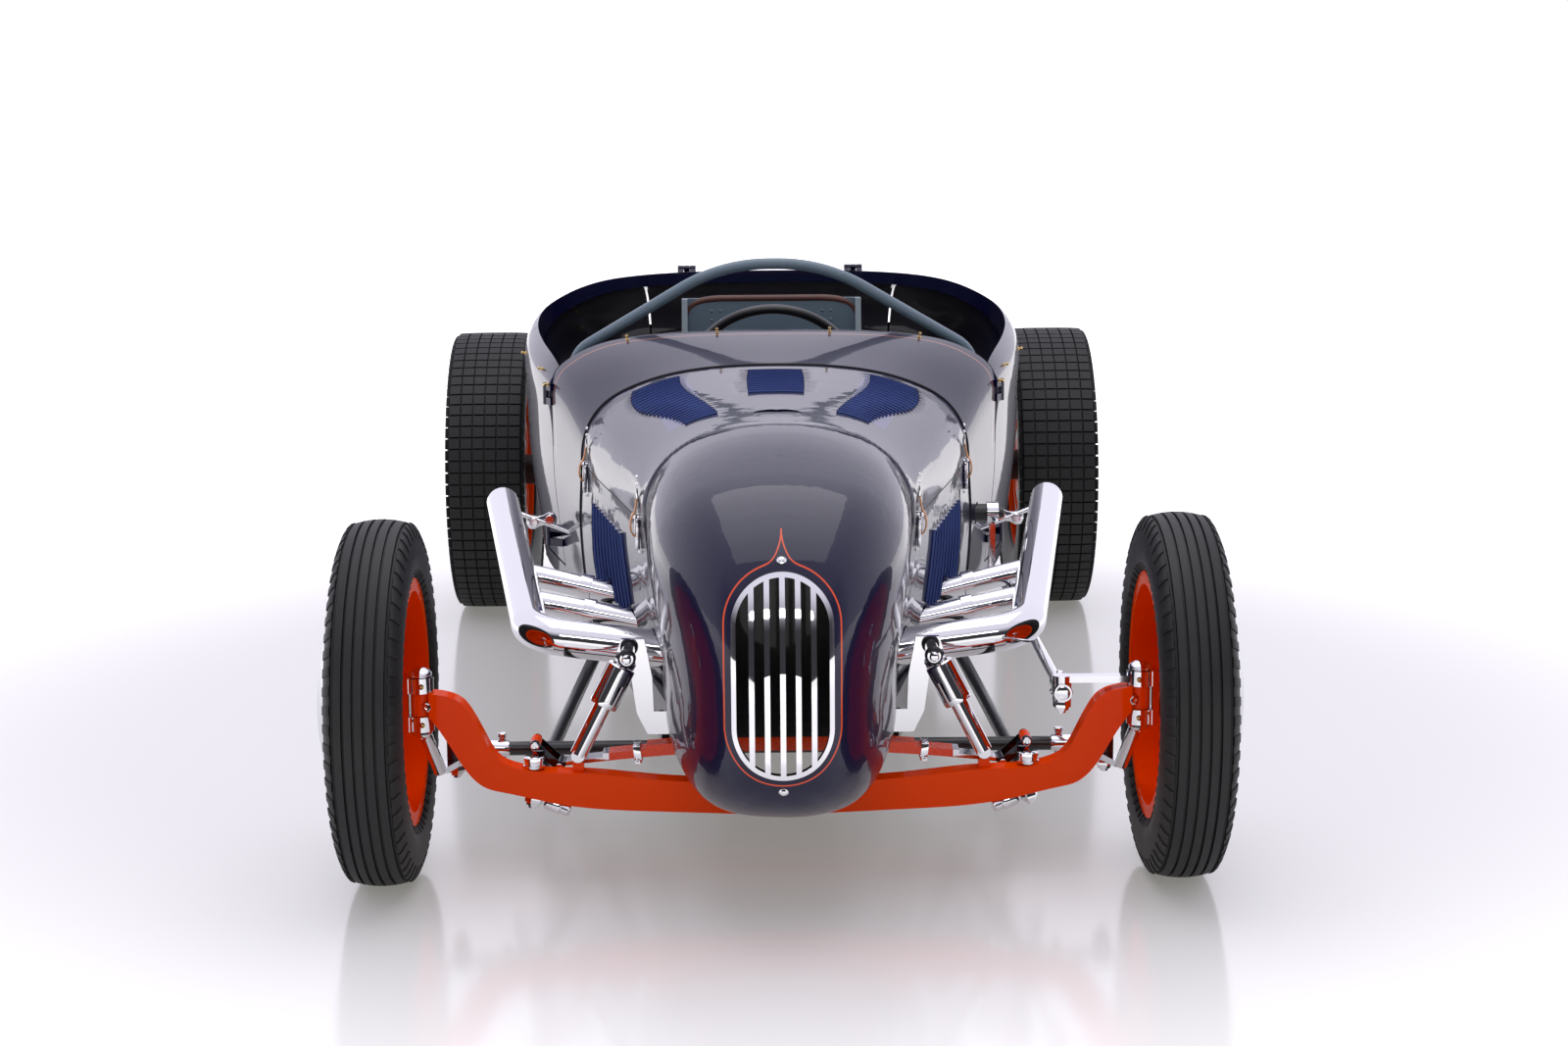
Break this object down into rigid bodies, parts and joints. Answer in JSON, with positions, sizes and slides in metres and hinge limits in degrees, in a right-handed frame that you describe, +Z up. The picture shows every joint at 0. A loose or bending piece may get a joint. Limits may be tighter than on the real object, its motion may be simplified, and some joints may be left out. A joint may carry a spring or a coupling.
{
  "type": "street rod roadster",
  "caption": "Open street rod roadster with a track nose, oval grille, side exhausts, dropped front axle, centre seat and spun wheel discs.",
  "frame": {"origin": "on the ground under the middle of the car's length, width and wheels", "axes": "+Z up, -Y towards the nose, +X towards the car's left side"},
  "size_m": [1.7556, 3.5412, 1.0185],
  "materials": {
    "body_paint": "high gloss very dark navy",
    "axle_paint": "gloss orange red",
    "chrome": "polished",
    "spun_aluminium": "spun satin",
    "tyre_rubber": "matt",
    "dark_steel": "satin black",
    "hoop_paint": "satin grey blue",
    "seat_metal": "satin",
    "seat_leather": "brown",
    "cast_block": "matt"
  },
  "bodies": {
    "chassis": {"frame": "dark_steel", "nose": "body_paint", "grille": "chrome", "radiator": "dark_steel", "hood_top": "body_paint", "hood_side_left": "body_paint", "hood_side_right": "body_paint", "cowl": "body_paint", "body_tub": "body_paint", "floor": "dark_steel", "dash": "seat_metal", "seat": "seat_metal", "seat_cushion": "seat_leather", "hoop": "hoop_paint", "engine": "cast_block", "gearbox": "cast_block", "exhaust_left": "chrome", "exhaust_right": "chrome", "front_axle": "axle_paint", "front_spring": "axle_paint", "radius_rods": "dark_steel", "shocks": "chrome", "nose_brackets": "chrome", "rear_axle": "dark_steel", "rear_spring": "dark_steel", "rear_radius_rods": "dark_steel", "steering_box": "dark_steel"},
    "knuckle_left": {"knuckle_left": "chrome"},
    "knuckle_right": {"knuckle_right": "chrome"},
    "tie_rod": {"tie_rod": "dark_steel"},
    "drag_link": {"drag_link": "chrome"},
    "pitman": {"pitman_arm": "chrome"},
    "steering_wheel": {"steering_wheel": "dark_steel"},
    "door_left": {"door_left": "body_paint"},
    "door_right": {"door_right": "body_paint"},
    "deck_lid": {"deck_lid": "body_paint"},
    "wheel_front_left": {"wheel_front_left": "axle_paint", "tyre_front_left": "tyre_rubber", "disc_front_left": "spun_aluminium"},
    "wheel_rear_left": {"wheel_rear_left": "axle_paint", "tyre_rear_left": "tyre_rubber", "disc_rear_left": "spun_aluminium"},
    "wheel_front_right": {"wheel_front_right": "axle_paint", "tyre_front_right": "tyre_rubber", "disc_front_right": "spun_aluminium"},
    "wheel_rear_right": {"wheel_rear_right": "axle_paint", "tyre_rear_right": "tyre_rubber", "disc_rear_right": "spun_aluminium"}
  },
  "joints": [
    {"name": "roll_front_left", "type": "hinge", "parent": "knuckle_left", "child": "wheel_front_left", "pos_m": [0.711, -1.29, 0.3275], "axis": [1, 0, 0], "continuous": true},
    {"name": "roll_rear_left", "type": "hinge", "parent": "chassis", "child": "wheel_rear_left", "pos_m": [0.7395, 1.25, 0.37], "axis": [1, 0, 0], "continuous": true},
    {"name": "roll_front_right", "type": "hinge", "parent": "knuckle_right", "child": "wheel_front_right", "pos_m": [-0.711, -1.29, 0.3275], "axis": [1, 0, 0], "continuous": true},
    {"name": "roll_rear_right", "type": "hinge", "parent": "chassis", "child": "wheel_rear_right", "pos_m": [-0.7395, 1.25, 0.37], "axis": [1, 0, 0], "continuous": true},
    {"name": "steer_left", "type": "hinge", "parent": "chassis", "child": "knuckle_left", "pos_m": [0.645, -1.29, 0.324], "axis": [0, 0, 1], "range_deg": [-20, 20]},
    {"name": "steer_right", "type": "hinge", "parent": "chassis", "child": "knuckle_right", "pos_m": [-0.645, -1.29, 0.324], "axis": [0, 0, 1], "range_deg": [-20, 20]},
    {"name": "tie_rod_end", "type": "hinge", "parent": "knuckle_left", "child": "tie_rod", "pos_m": [0.6, -1.15, 0.2035], "axis": [0, 0, 1], "range_deg": [-22, 22]},
    {"name": "drag_link_end", "type": "hinge", "parent": "knuckle_left", "child": "drag_link", "pos_m": [0.505, -1.29, 0.3345], "axis": [0, 0, 1], "range_deg": [-20, 20]},
    {"name": "pitman_shaft", "type": "hinge", "parent": "chassis", "child": "pitman", "pos_m": [0.468, -0.25, 0.488], "axis": [1, 0, 0], "range_deg": [-20, 20]},
    {"name": "steering_wheel_turn", "type": "hinge", "parent": "chassis", "child": "steering_wheel", "pos_m": [0, 0.315, 0.7], "axis": [0, 0.9363, 0.3513], "range_deg": [-120, 120]},
    {"name": "door_left_hinge", "type": "hinge", "parent": "chassis", "child": "door_left", "pos_m": [0.505, -0.0375, 0.6], "axis": [0, 0, -1], "range_deg": [0, 60]},
    {"name": "door_right_hinge", "type": "hinge", "parent": "chassis", "child": "door_right", "pos_m": [-0.505, -0.0375, 0.6], "axis": [0, 0, 1], "range_deg": [0, 60]},
    {"name": "deck_lid_hinge", "type": "hinge", "parent": "chassis", "child": "deck_lid", "pos_m": [0, 1.1875, 0.91299], "axis": [1, 0, 0], "range_deg": [0, 60]}
  ],
  "couplings": [
    {"joint": "steer_right", "follows": "steer_left", "ratio": 1},
    {"joint": "tie_rod_end", "follows": "steer_left", "ratio": -1.075},
    {"joint": "drag_link_end", "follows": "steer_left", "ratio": -1},
    {"joint": "pitman_shaft", "follows": "steer_left", "ratio": -1},
    {"joint": "steering_wheel_turn", "follows": "steer_left", "ratio": 6}
  ]
}
